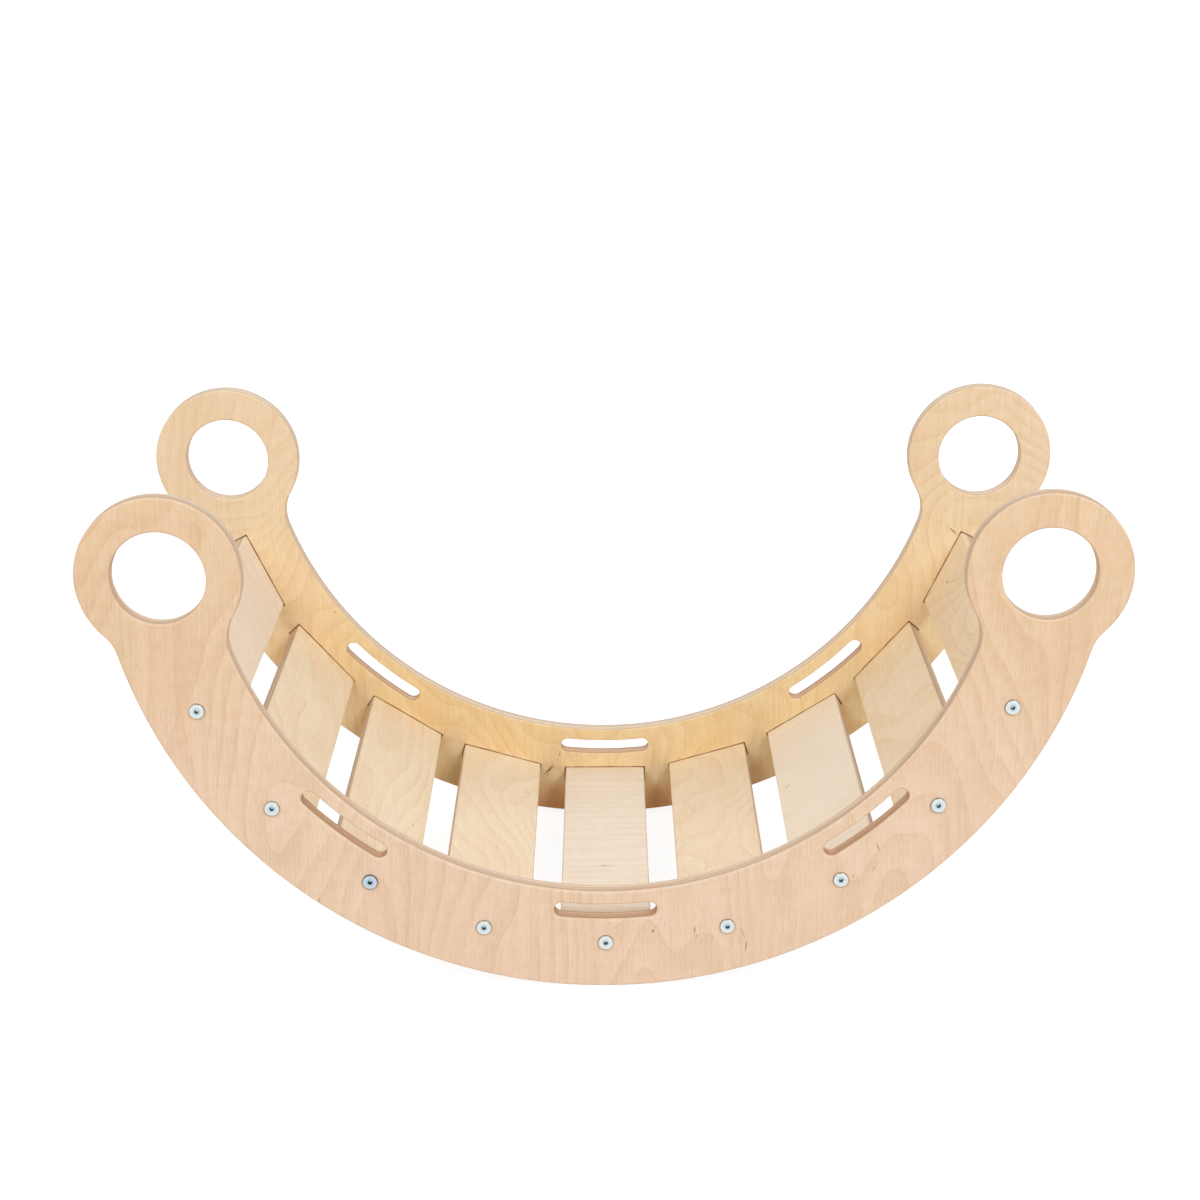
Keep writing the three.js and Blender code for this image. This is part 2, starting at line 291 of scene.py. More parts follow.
class Graph:
    """A node tree of a material or world, built by calls that each return the output the next call takes."""

    def __init__(self, owner):
        self.owner = owner
        owner.use_nodes = True
        self.tree = owner.node_tree
        self.tree.nodes.clear()

    def add(self, kind, inputs=None, output=0, **settings):
        node = self.tree.nodes.new(kind)
        for key, value in settings.items():
            setattr(node, key, value)
        for key, value in (inputs or {}).items():
            if isinstance(value, bpy.types.NodeSocket):
                self.tree.links.new(value, node.inputs[key])
            else:
                node.inputs[key].default_value = value
        return node.outputs[output]

    def coordinates(self, kind):
        return self.add("ShaderNodeTexCoord", output=kind)

    def axes(self, vector, order):
        """The parts of a vector in the order given, such as "XZY"."""
        node = self.add("ShaderNodeSeparateXYZ", {0: vector}).node
        return [node.outputs[axis] for axis in order]

    def vector(self, x, y, z):
        return self.add("ShaderNodeCombineXYZ", {0: x, 1: y, 2: z})

    def math(self, operation, a, b=0.0):
        return self.add("ShaderNodeMath", {0: a, 1: b}, operation=operation)

    def plus(self, first, *others):
        for other in others:
            first = self.math("ADD", first, other)
        return first

    def times(self, first, *others):
        for other in others:
            first = self.math("MULTIPLY", first, other)
        return first

    def flipped(self, value):
        return self.math("SUBTRACT", 1.0, value)

    def swing(self, value, amount):
        """A texture's swing about its middle, times an amount."""
        return self.times(self.math("SUBTRACT", value, 0.5), amount)

    def scaled(self, vector, scale):
        return self.add("ShaderNodeVectorMath", {0: vector, 1: scale}, operation="MULTIPLY")

    def noise(self, vector, scale=1.0, detail=2.0, roughness=0.5):
        inputs = {"Vector": vector, "Scale": scale, "Detail": detail, "Roughness": roughness}
        return self.add("ShaderNodeTexNoise", inputs)

    def pattern(self, vector, name):
        """One of the PATTERNS, laid out over the vector."""
        scale, detail, roughness = PATTERNS[name]
        return self.noise(self.scaled(vector, scale), detail=detail, roughness=roughness)

    def span(self, value, low, high, to_low=0.0, to_high=1.0):
        """The value's place between low and high, eased at both ends."""
        inputs = {0: value, 1: low, 2: high, 3: to_low, 4: to_high}
        return self.add("ShaderNodeMapRange", inputs, interpolation_type="SMOOTHSTEP")

    def mix(self, share, a, b):
        inputs = {MIX_SHARE: share, MIX_A: a, MIX_B: b}
        return self.add("ShaderNodeMix", inputs, output=MIX_RESULT, data_type="RGBA", clamp_factor=True)

    def bump(self, height, strength, distance):
        return self.add("ShaderNodeBump", {"Strength": strength, "Distance": distance, "Height": height})

    def surface(self, shader, kind="ShaderNodeOutputMaterial"):
        output = self.tree.nodes.new(kind)
        self.tree.links.new(shader, output.inputs["Surface"])
        return self.owner


def new_graph(name):
    return Graph(bpy.data.materials.new(name))


def mixed(g, amount, base, colour):
    return g.mix(amount, base, srgb(colour))


def year_ring(g, place, look):
    """The count of year rings at a place: steady across the grain, with hills that bend the lines."""
    hills = g.noise(g.scaled(place, look["hills"]), detail=HILL_DETAIL, roughness=HILL_ROUGHNESS)
    return g.plus(g.times(g.axes(place, "X")[0], look["straight"]), g.times(hills, look["rings"]))


def ring_lines(g, place, look):
    """Lines where one year ring meets the next, of the same width at any slope, and each ring's season."""
    here = year_ring(g, place, look)
    slopes = []
    for step in ((RING_PROBE, 0, 0), (0, RING_PROBE, 0)):
        beside = g.add("ShaderNodeVectorMath", {0: place, 1: step}, operation="ADD")
        slope = g.math("DIVIDE", g.math("SUBTRACT", year_ring(g, beside, look), here), RING_PROBE)
        slopes.append(g.times(slope, slope))
    within = g.math("FRACT", here)
    nearest = g.math("MINIMUM", within, g.flipped(within))
    distance = g.math("DIVIDE", nearest, g.math("SQRT", g.plus(*slopes, 1.0)))
    return g.span(distance, RING_LINE_WIDTH, 0.0), g.span(within, *SEASON_SPAN)


def veneer(g, place, tone, look):
    """Colour of a sanded birch face, with its grain along the second axis, and the relief of its fibres."""
    pale, deep, blush = tone
    across, along, side = g.axes(place, "XYZ")
    sway = g.swing(g.pattern(place, "sway"), look["sway"])
    ripple = g.swing(g.pattern(place, "ripple"), look["ripple"])
    wavy = g.vector(g.plus(across, sway, ripple), along, side)
    late_wood, season = ring_lines(g, wavy, look)

    textures = {"mottle": g.pattern(place, "mottle")}
    for name in ("flame", "bands", "streaks", "fibres"):
        textures[name] = g.pattern(wavy, name)
    textures["season"] = season
    swings = [g.swing(texture, look[name]) for name, texture in textures.items()]
    colour = g.mix(g.math("MAXIMUM", g.plus(FACE_DEPTH, *swings), 0.0), pale, deep)
    patches = g.span(g.pattern(wavy, "patches"), *PATCH_SPAN)
    colour = g.mix(g.times(patches, look["blush"]), colour, blush)
    breaks = g.span(g.pattern(wavy, "breaks"), *BREAK_SPAN)
    colour = mixed(g, g.times(late_wood, breaks, look["lines"]), colour, FIGURE_LINE)

    shifted = g.vector(g.plus(across, sway, g.times(side, SEED_SHIFT)), along, side)
    cells = g.add("ShaderNodeTexVoronoi", {"Vector": g.scaled(shifted, PORE_SCALE), "Scale": 1.0},
                  voronoi_dimensions="2D")
    chosen = g.axes(cells.node.outputs["Color"], "X")[0]
    pores = g.times(g.flipped(g.span(cells, *PORE_REACH)), g.span(chosen, *PORE_CHOICE), look["pores"])
    return mixed(g, pores, colour, FLECK), textures["fibres"]


def mark_strength(g, place, mark):
    """How strongly one small knot or bark fleck shows, fading out at its edge."""
    spot = g.add("ShaderNodeMapping", {
        "Vector": place, "Location": (*mark["place"], 0), "Rotation": (0, 0, -math.radians(mark["lean"])),
        "Scale": (mark["width"] / 2, mark["length"] / 2, 1),
    }, vector_type="TEXTURE")
    reach = g.add("ShaderNodeVectorMath", {0: spot}, output="Value", operation="LENGTH")
    return g.times(g.span(reach, 1.0, MARK_CORE), mark["strength"])


def marked(g, face, across, along, marks):
    """The face with its knots and flecks."""
    rough = g.pattern(g.vector(across, along, 0.0), "ragged")
    place = g.vector(g.plus(across, g.swing(rough, MARK_RAGGEDNESS)), along, 0.0)
    strength = 0.0
    for mark in marks:
        strength = g.math("MAXIMUM", strength, mark_strength(g, place, mark))
    return mixed(g, strength, face, FLECK)


def ply_edge(g, place, normal, from_low, tones, seed):
    """Colour of a cut edge: plies that cross in turn, each of its own tone, with glue lines between them."""
    across, along, _ = place
    layer = g.math("FLOOR", from_low)
    crossed = g.math("MODULO", layer, 2.0)
    straight_end, crossed_end = (g.times(part, part) for part in (normal[1], normal[0]))
    endness = g.plus(straight_end, g.times(crossed, g.math("SUBTRACT", crossed_end, straight_end)))

    solid = g.vector(across, along, g.plus(g.times(layer, LAYER_SHIFT), float(seed)))
    pores = g.swing(g.pattern(solid, "edge_pores"), EDGE_LOOK["pores"])
    drift = g.swing(g.pattern(solid, "edge_drift"), EDGE_LOOK["drift"])
    own = g.add("ShaderNodeTexWhiteNoise", {"W": g.plus(layer, float(seed))}, noise_dimensions="1D")
    dark = g.plus(g.times(endness, EDGE_LOOK["end_grain"]), g.swing(own, EDGE_LOOK["ply"]), pores, drift,
                  EDGE_LOOK["depth"])
    edge = g.mix(g.math("MAXIMUM", dark, 0.0), *(srgb(tone) for tone in tones))

    within = g.math("FRACT", from_low)
    to_glue = g.math("MINIMUM", within, g.flipped(within))
    boundary = g.math("ROUND", from_low)
    bond = g.add("ShaderNodeTexWhiteNoise", {"W": g.plus(boundary, 0.5, float(seed))}, noise_dimensions="1D")
    patchy = g.pattern(g.vector(across, along, g.times(boundary, GLUE_SHIFT)), "glue_patches")
    strong = g.times(g.span(bond, *BOND_SPAN), g.span(patchy, *GLUE_PATCH_SPAN))
    glue = g.times(g.flipped(g.span(to_glue, *GLUE_REACH)), strong)
    return mixed(g, glue, edge, GLUE_LINE), glue


def near_station(g, x, z):
    """A place in the panel's plane as seen from the nearest slat's middle: along its width, and outwards."""
    down = g.math("SUBTRACT", ARCH_CENTRE.y, z)
    turn = g.math("ARCTAN2", x, down)
    count = g.math("ROUND", g.math("DIVIDE", turn, SLAT_PITCH))
    last = (len(SLAT_NUMBERS) - 1) / 2
    count = g.math("MINIMUM", g.math("MAXIMUM", count, -last), last)
    local = g.math("SUBTRACT", turn, g.times(count, SLAT_PITCH))
    reach = g.math("SQRT", g.plus(g.times(x, x), g.times(down, down)))
    along_width = g.times(reach, g.math("SINE", local))
    outward = g.math("SUBTRACT", g.times(reach, g.math("COSINE", local)), SLAT_RADIUS)
    return along_width, outward


def joint_marks_and_shade(g, coordinates, face, top):
    """The panel's face with painted warm shade low down and a painted shadow line round each housing on the
    inner side, and on the outer side the print of each bolt head with its painted contact shadow."""
    x, _, z = g.axes(coordinates, "XYZ")
    # Painted warm shade, low on the inner face
    warm_shade = g.times(g.span(z, *WARM_SHADE_HEIGHTS), top, WARM_SHADE_STRENGTH)
    face = mixed(g, warm_shade, face, PAINTED_WARM_SHADE)
    along_width, outward = near_station(g, x, z)
    beside = g.math("SUBTRACT", g.math("ABSOLUTE", along_width), SLAT_WIDTH / 2 + HOUSING_SIDE_CLEARANCE)
    above = g.math("SUBTRACT", g.math("ABSOLUTE", outward), SLAT_THICKNESS / 2 + HOUSING_TOP_CLEARANCE)
    # Painted shadow line round each housing's mouth, in patches
    patchy = g.span(g.noise(coordinates, scale=ARRIS_SHADE_SCALE, detail=1), *ARRIS_SHADE_SPAN)
    arris_shade = g.times(g.span(g.math("MAXIMUM", beside, above), ARRIS_SHADE_WIDTH, 0.0), top, patchy)
    # Print of each bolt head with its painted contact shadow, on the outer face
    to_bolt = g.math("SQRT", g.plus(g.times(along_width, along_width), g.times(outward, outward)))
    print_and_shadow = g.times(g.span(to_bolt, HEAD_RADIUS + HEAD_PRINT_AND_SHADOW, HEAD_RADIUS), g.flipped(top))
    face = mixed(g, arris_shade, face, GAP_SHADE)
    return mixed(g, g.times(print_and_shadow, HEAD_PRINT_AND_SHADOW_STRENGTH), face, GLUE_LINE)


def plywood(name, order, thickness, plies, tones, look, seed, marks=((), ()), ends=None, buried=None,
            housed=False, edge_tones=CUT_EDGE):
    """Solid birch plywood. order names the axes across the face grain, along it and through the plies.

    tones and marks are for the low face and the high face. ends is a tone for each face near the panel's
    ends, and the two heights between which it sets in. buried is an axis and the distance past which a joint
    hides it; there the wood is painted dark as the joint's shade. housed is for the panels, which hold the
    slats in housings; it adds their marks and painted shade.
    """
    g = new_graph(name)
    coordinates = g.coordinates("Object")
    across, along, depth = place = g.axes(coordinates, order)
    normal = g.axes(g.coordinates("Normal"), order)

    top = g.math("GREATER_THAN", depth, 0.0)
    side = g.plus(g.times(top, FACE_SHIFT), float(seed))
    low, high = ([srgb(colour) for colour in tone] for tone in tones)
    if ends:
        end_tones, setting_in, full = ends
        at_end = g.span(along, setting_in, full)
        low, high = ([g.mix(at_end, middle, srgb(end)) for middle, end in zip(face, end_tone)]
                     for face, end_tone in zip((low, high), end_tones))
    tone = [a if a == b else g.mix(top, a, b) for a, b in zip(low, high)]
    face, fibres = veneer(g, g.vector(g.plus(across, SEED_SHIFT * seed), along, side), tone, look)
    for share, spots in zip((g.flipped(top), top), marks):
        face = g.mix(share, face, marked(g, face, across, along, spots)) if spots else face
    if housed:
        face = joint_marks_and_shade(g, coordinates, face, top)

    from_low = g.math("DIVIDE", g.plus(depth, thickness / 2), thickness / plies)
    edge, glue = ply_edge(g, place, normal, from_low, edge_tones, seed)
    under_face = g.math("MINIMUM", from_low, g.math("SUBTRACT", float(plies), from_low))
    facing = g.span(g.math("ABSOLUTE", normal[2]), *FACE_TILT)
    shows_face = g.times(facing, g.math("LESS_THAN", under_face, 1.0))
    colour = g.mix(shows_face, edge, face)
    if buried:
        axis, distance = buried
        reach = g.math("ABSOLUTE", g.axes(coordinates, axis)[0])
        # The slat's end inside the joint is painted dark as the joint's shade
        colour = mixed(g, g.span(reach, distance - BURIED_SHADE_WIDTH, distance), colour, GAP_SHADE)

    height = g.plus(fibres, g.times(glue, g.flipped(shows_face), GLUE_RELIEF))
    shader = g.add("ShaderNodeBsdfPrincipled", {
        "Base Color": colour, "Roughness": g.plus(WOOD_ROUGHNESS, g.times(fibres, FIBRE_ROUGHNESS)),
        "Normal": g.bump(height, *WOOD_RELIEF), "Specular IOR Level": WOOD_SPECULAR,
    })
    return g.surface(shader)


def housing_shade_wood():
    """The walls and floors of the housings, painted dark brown as the shade in the gaps round the slat ends,
    streaked by the cutter.
    """
    g = new_graph("birch_housing")
    streaks = g.pattern(g.coordinates("Object"), "cutter")
    shader = g.add("ShaderNodeBsdfPrincipled", {
        "Base Color": g.mix(streaks, srgb(DEEP_GAP_SHADE), srgb(GAP_SHADE_BROWN)), "Roughness": HOUSING_ROUGHNESS,
        "Normal": g.bump(streaks, *HOUSING_RELIEF), "Specular IOR Level": HOUSING_SPECULAR,
    })
    return g.surface(shader)


def zinc(name, order, tones, rim_from, rim_to, socket_radius, seed):
    """Zinc plate, with painted shade on its rounded rim and in its socket, and a painted highlight at the
    socket's middle. order names the two axes across the piece and the one along it.
    """
    g = new_graph(name)
    bright, middle, rim_shade_tone, dark = (srgb(colour) for colour in tones)
    place = g.coordinates("Object")
    x, y, _ = g.axes(place, order)
    reach = g.math("SQRT", g.plus(g.times(x, x), g.times(y, y)))
    shifted = g.add("ShaderNodeVectorMath", {0: place, 1: (seed, seed, seed)}, operation="ADD")
    cloud = g.noise(shifted, scale=CLOUD_SCALE, detail=3, roughness=0.6)
    turned = g.noise(g.vector(reach, 0.0, 0.0), scale=TURNING_SCALE, detail=2)

    def within(radius, shares):
        return g.span(reach, *(radius * share for share in shares))

    # Painted shade on the rounded rim
    rim = g.plus(g.span(reach, rim_from, rim_to), g.swing(cloud, CLOUD_SWING))
    colour = g.mix(within(rim_from, BRIGHT_SHARES), middle, bright)
    colour = g.mix(g.math("MAXIMUM", rim, 0.0), colour, rim_shade_tone)
    # Painted shade in the socket, with a painted highlight at its middle
    socket_shade_and_glint = g.mix(within(socket_radius, SOCKET_GLINT_SHARES), dark, bright)
    colour = g.mix(within(socket_radius, SOCKET_SHARES), colour, socket_shade_and_glint)
    shader = g.add("ShaderNodeBsdfPrincipled", {
        "Base Color": colour, "Metallic": 1.0,
        "Roughness": g.plus(ZINC_ROUGHNESS, g.times(cloud, CLOUD_ROUGHNESS)),
        "Normal": g.bump(g.plus(turned, cloud), *ZINC_RELIEF),
    })
    return g.surface(shader)


def seen_directly(g):
    """1 for rays from the camera, from polished metal and through glass."""
    node = g.add("ShaderNodeLightPath").node
    seen = g.math("MAXIMUM", node.outputs["Is Camera Ray"], node.outputs["Is Glossy Ray"])
    return g.math("MAXIMUM", seen, node.outputs["Is Transmission Ray"])


def white_ground():
    """A pale floor that shows white, with the object's shadow in it."""
    g = new_graph("white_ground")
    grit = g.noise(g.coordinates("Object"), scale=GRIT_SCALE, detail=3)
    pale = g.mix(g.times(grit, GRIT_STRENGTH), srgb(FLOOR_COLOUR), WHITE)
    matt = g.add("ShaderNodeBsdfDiffuse", {"Color": pale})
    glow = g.add("ShaderNodeEmission", {"Color": WHITE, "Strength": FLOOR_GLOW})
    shadowed = g.add("ShaderNodeBsdfDiffuse", {"Color": FLOOR_MATT})
    shown = g.add("ShaderNodeAddShader", {0: glow, 1: shadowed})
    return g.surface(g.add("ShaderNodeMixShader", {0: seen_directly(g), 1: matt, 2: shown}))


def make_world():
    """A white surround where it is seen, and a soft, slightly warm light elsewhere."""
    world = bpy.data.worlds.new("studio")
    bpy.context.scene.world = world
    g = Graph(world)
    seen = seen_directly(g)
    colour = g.mix(seen, srgb(SKY_COLOUR), WHITE)
    strength = g.plus(g.times(seen, 1 - SKY_STRENGTH), SKY_STRENGTH)
    sky = g.add("ShaderNodeBackground", {"Color": colour, "Strength": strength})
    g.surface(sky, "ShaderNodeOutputWorld")


def make_camera():
    data = bpy.data.cameras.new("camera")
    data.sensor_width = CAMERA_SENSOR
    data.lens = CAMERA_LENS
    camera = bpy.data.objects.new("camera", data)
    bpy.context.scene.collection.objects.link(camera)
    camera.matrix_world = (
        Matrix.Translation(CAMERA_PLACE)
        @ Matrix.Rotation(-CAMERA_YAW, 4, "Z")
        @ Matrix.Rotation(QUARTER_TURN - CAMERA_PITCH, 4, "X")
        @ Matrix.Rotation(CAMERA_ROLL, 4, "Z")
    )
    bpy.context.scene.camera = camera


def make_lights():
    for name, box in SOFTBOXES.items():
        data = bpy.data.lights.new(name, "AREA")
        data.size = box["size"]
        data.energy = box["power"]
        data.color = box["colour"]
        light = bpy.data.objects.new(name, data)
        bpy.context.scene.collection.objects.link(light)
        light.location = box["place"]
        aim = LIGHT_TARGET - light.location
        light.rotation_euler = aim.to_track_quat("-Z", "Y").to_euler()


def make_floor():
    mesh = bpy.data.meshes.new("floor")
    bm = bmesh.new()
    bmesh.ops.create_grid(bm, x_segments=1, y_segments=1, size=FLOOR_SIZE / 2)
    bm.to_mesh(mesh)
    bm.free()
    mesh.materials.append(white_ground())
    floor = bpy.data.objects.new("floor", mesh)
    bpy.context.scene.collection.objects.link(floor)
    floor.location.z = FLOOR_LEVEL


def point_at(radius, turn):
    """A point in the panel's plane, by distance from the arch's centre and angle from straight down."""
    angle = STRAIGHT_DOWN + turn
    return ARCH_CENTRE + radius * Vector((math.cos(angle), math.sin(angle)))


def heading(start, end):
    return math.atan2(end.y - start.y, end.x - start.x)


def arc(centre, radius, start, end, step):
    """Points of an arc with both its ends, in steps of about the angle given."""
    count = max(1, round(abs(end - start) / step))
    angles = (start + (end - start) * i / count for i in range(count + 1))
    return [centre + radius * Vector((math.cos(angle), math.sin(angle))) for angle in angles]


def chain(*arcs):
    """Arcs that meet end to end as one list without repeated points."""
    return [point for i, points in enumerate(arcs) for point in points[min(i, 1):]]


def after(angle, start):
    return start + (angle - start) % FULL_TURN


def neck(ring_centre_radius, to_arch, to_ring):
    """Angle of a neck fillet's centre, from its distances to the centres of the arch and of the ring."""
    between = (ring_centre_radius**2 + to_arch**2 - to_ring**2) / (2 * ring_centre_radius * to_arch)
    return RING_TURN - math.acos(between)


def panel_outline():
    """The panel's outer edge, with the wood on the left."""
    inner_radius = RUNNER_RADIUS - BAND_DEPTH
    ring_centre_radius = RUNNER_RADIUS - RING_INSET
    outer_reach = RUNNER_RADIUS + OUTER_NECK_RADIUS
    inner_reach = inner_radius - INNER_NECK_RADIUS
    outer_turn = neck(ring_centre_radius, outer_reach, RING_RADIUS + OUTER_NECK_RADIUS)
    inner_turn = neck(ring_centre_radius, inner_reach, RING_RADIUS + INNER_NECK_RADIUS)
    ring = point_at(ring_centre_radius, RING_TURN)
    outer = point_at(outer_reach, outer_turn)
    inner = point_at(inner_reach, inner_turn)

    outer_start = heading(outer, ARCH_CENTRE)
    outer_end = -after(-heading(outer, ring), -outer_start)
    ring_start = heading(ring, outer)
    ring_end = after(heading(ring, inner), ring_start)
    inner_start = heading(inner, ring)
    inner_end = -after(-heading(ARCH_CENTRE, inner), -inner_start)
    half = chain(
        arc(ARCH_CENTRE, RUNNER_RADIUS, STRAIGHT_DOWN, STRAIGHT_DOWN + outer_turn, BAND_STEP),
        arc(outer, OUTER_NECK_RADIUS, outer_start, outer_end, RING_STEP),
        arc(ring, RING_RADIUS, ring_start, ring_end, RING_STEP),
        arc(inner, INNER_NECK_RADIUS, inner_start, inner_end, RING_STEP),
        arc(ARCH_CENTRE, inner_radius, STRAIGHT_DOWN + inner_turn, STRAIGHT_DOWN, BAND_STEP),
    )
    mirrored = [Vector((-point.x, point.y)) for point in reversed(half[1:-1])]
    return half + mirrored


def slot_outline(turn):
    """A hand slot, with the wood on the left."""
    radius = RUNNER_RADIUS - BAND_DEPTH + SLOT_INSET
    half_span = (SLOT_LENGTH - SLOT_WIDTH) / 2 / radius
    half_width = SLOT_WIDTH / 2
    low = STRAIGHT_DOWN + turn - half_span
    high = STRAIGHT_DOWN + turn + half_span
    points = chain(
        arc(ARCH_CENTRE, radius + half_width, low, high, BAND_STEP),
        arc(point_at(radius, turn + half_span), half_width, high, high + math.pi, SLOT_END_STEP),
        arc(ARCH_CENTRE, radius - half_width, high, low, BAND_STEP),
        arc(point_at(radius, turn - half_span), half_width, low - math.pi, low, SLOT_END_STEP),
    )
    return points[:0:-1]


def circle(centre, radius, step):
    """A round hole, with the wood on the left."""
    return arc(centre, radius, FULL_TURN, 0, step)[1:]


def rounded_box(width, height, corner):
    """A rectangle about the origin with round corners, with the wood on its right."""
    x = width / 2 - corner
    y = height / 2 - corner
    centres = [Vector(place) for place in ((x, y), (-x, y), (-x, -y), (x, -y))]
    return [
        point
        for i, centre in enumerate(centres)
        for point in arc(centre, corner, i * QUARTER_TURN, (i + 1) * QUARTER_TURN, CORNER_STEP)
    ]


def moved(points, turn):
    """Points drawn about a slat's middle, taken to the slat at this angle."""
    place = point_at(SLAT_RADIUS, turn)
    turning = Matrix.Rotation(turn, 2)
    return [place + turning @ point for point in points]


def inset(loop, distance):
    """A closed loop moved into the wood, which lies on its left."""
    result = []
    for i, point in enumerate(loop):
        along = (loop[(i + 1) % len(loop)] - loop[i - 1]).normalized()
        result.append(point + distance * Vector((-along.y, along.x)))
    return result


def add_ring(bm, loop, y):
    return [bm.verts.new((point.x, y, point.y)) for point in loop]


def add_strip(bm, first, second, smooth=True, slot=0):
    for i in range(len(first)):
        face = bm.faces.new((first[i - 1], second[i - 1], second[i], first[i]))
        face.smooth = smooth
        face.material_index = slot


def add_cap(bm, *rings, slot=0):
    """A flat face inside the first ring and outside the others."""
    verts = [vert for ring in rings for vert in ring]
    outlines = [[Vector((vert.co.x, vert.co.z, 0)) for vert in ring] for ring in rings]
    for corners in tessellate_polygon(outlines):
        face = bm.faces.new([verts[i] for i in corners])
        face.material_index = slot


def mark_sharp(bm, ring):
    for i in range(len(ring)):
        edge = bm.edges.get((ring[i - 1], ring[i]))
        edge.smooth = False


def quarter_round(corner):
    """Points of a rounded arris, each by its depth under the edge and its depth under the face."""
    angles = [QUARTER_TURN * i / EDGE_STEPS for i in range(EDGE_STEPS + 1)]
    return [(corner * (1 - math.sin(angle)), corner * (1 - math.cos(angle))) for angle in angles]


def add_rounded_edge(bm, loop, thickness, corner, slot):
    """A plate's edge, round at both arrises. Returns its rings at the -Y face and at the +Y face."""
    half = thickness / 2
    section = [(depth, y - half) for depth, y in quarter_round(corner)]
    section += [(depth, -y) for depth, y in reversed(section)]
    rings = [add_ring(bm, inset(loop, depth), y) for depth, y in section]
    for first, second in zip(rings, rings[1:]):
        add_strip(bm, first, second, slot=slot)
    return rings[0], rings[-1]


def finish_mesh(bm, name):
    bmesh.ops.recalc_face_normals(bm, faces=bm.faces)
    mesh = bpy.data.meshes.new(name)
    bm.to_mesh(mesh)
    bm.free()
    return mesh


SAWN, ROUTED, HOUSING = range(3)


def panel_mesh():
    """A side panel about its own middle plane, with its housings in the +Y face."""
    half = PANEL_THICKNESS / 2
    floor = half - HOUSING_DEPTH
    bm = bmesh.new()
    ring_centre_radius = RUNNER_RADIUS - RING_INSET
    holes = [circle(point_at(ring_centre_radius, side * RING_TURN), RING_HOLE_RADIUS, RING_STEP)
             for side in (-1, 1)]
    slots = [slot_outline(turn) for turn in (-SIDE_SLOT_TURN, 0, SIDE_SLOT_TURN)]
    edges = [(loop, SAWN) for loop in (panel_outline(), *holes)] + [(loop, ROUTED) for loop in slots]
    outer_rings, inner_rings = [], []
    for loop, slot in edges:
        outer, inner = add_rounded_edge(bm, loop, PANEL_THICKNESS, PANEL_EDGE_ROUND, slot)
        outer_rings.append(outer)
        inner_rings.append(inner)

    housing = rounded_box(SLAT_WIDTH + 2 * HOUSING_SIDE_CLEARANCE, SLAT_THICKNESS + 2 * HOUSING_TOP_CLEARANCE,
                          SLAT_EDGE_ROUND + HOUSING_TOP_CLEARANCE)
    bolt_hole = circle(Vector((0, 0)), SHANK_RADIUS + BOLT_CLEARANCE, SLOT_END_STEP)
    for turn in slat_turns():
        hole = moved(bolt_hole, turn)
        recess = moved(housing[::-1], turn)
        hole_outer = add_ring(bm, hole, -half)
        hole_floor = add_ring(bm, hole, floor)
        recess_floor = add_ring(bm, recess, floor)
        recess_rim = add_ring(bm, recess, half)
        add_strip(bm, hole_outer, hole_floor, slot=HOUSING)
        add_strip(bm, recess_floor, recess_rim, slot=HOUSING)
        add_cap(bm, recess_floor, hole_floor, slot=HOUSING)
        for ring in (hole_outer, hole_floor, recess_floor, recess_rim):
            mark_sharp(bm, ring)
        outer_rings.append(hole_outer)
        inner_rings.append(recess_rim)
    add_cap(bm, *outer_rings)
    add_cap(bm, *inner_rings)
    return finish_mesh(bm, "panel")


def lathe(bm, section, sides):
    """A solid turned about the Y axis, from (radius, y) pairs that start and end with a flat cap."""
    rings = []
    for radius, y in section:
        loop = arc(Vector((0, 0)), radius, 0, FULL_TURN, FULL_TURN / sides)[1:]
        rings.append(add_ring(bm, loop, y))
    for first, second in zip(rings, rings[1:]):
        add_strip(bm, first, second)
    return rings[0], rings[-1]


def cylinder(radius, start, end):
    """A cutter along Y."""
    bm = bmesh.new()
    first, last = lathe(bm, [(radius, start), (radius, end)], ROUND_SIDES)
    add_cap(bm, first)
    add_cap(bm, last)
    return finish_mesh(bm, "cutter")


def subtract(mesh, cutters):
    """The mesh with each cutter taken out of it, and its arrises marked."""
    body = bpy.data.objects.new("cut_body", mesh)
    bpy.context.scene.collection.objects.link(body)
    tools = []
    for cutter in cutters:
        tool = bpy.data.objects.new("cut_tool", cutter)
        bpy.context.scene.collection.objects.link(tool)
        modifier = body.modifiers.new("cut", "BOOLEAN")
        modifier.operation = "DIFFERENCE"
        modifier.solver = "EXACT"
        modifier.object = tool
        tools.append(tool)
    graph = bpy.context.evaluated_depsgraph_get()
    result = bpy.data.meshes.new_from_object(body.evaluated_get(graph))
    for thing in (body, *tools):
        bpy.data.objects.remove(thing)
    return arrises(result)


def arrises(mesh):
    """Flat shading on flat faces, smooth shading on round ones, and sharp edges between them."""
    for face in mesh.polygons:
        face.use_smooth = max(abs(part) for part in face.normal) < FLAT_FACING
    mesh.set_sharp_from_angle(angle=SHARP_ANGLE)
    return mesh


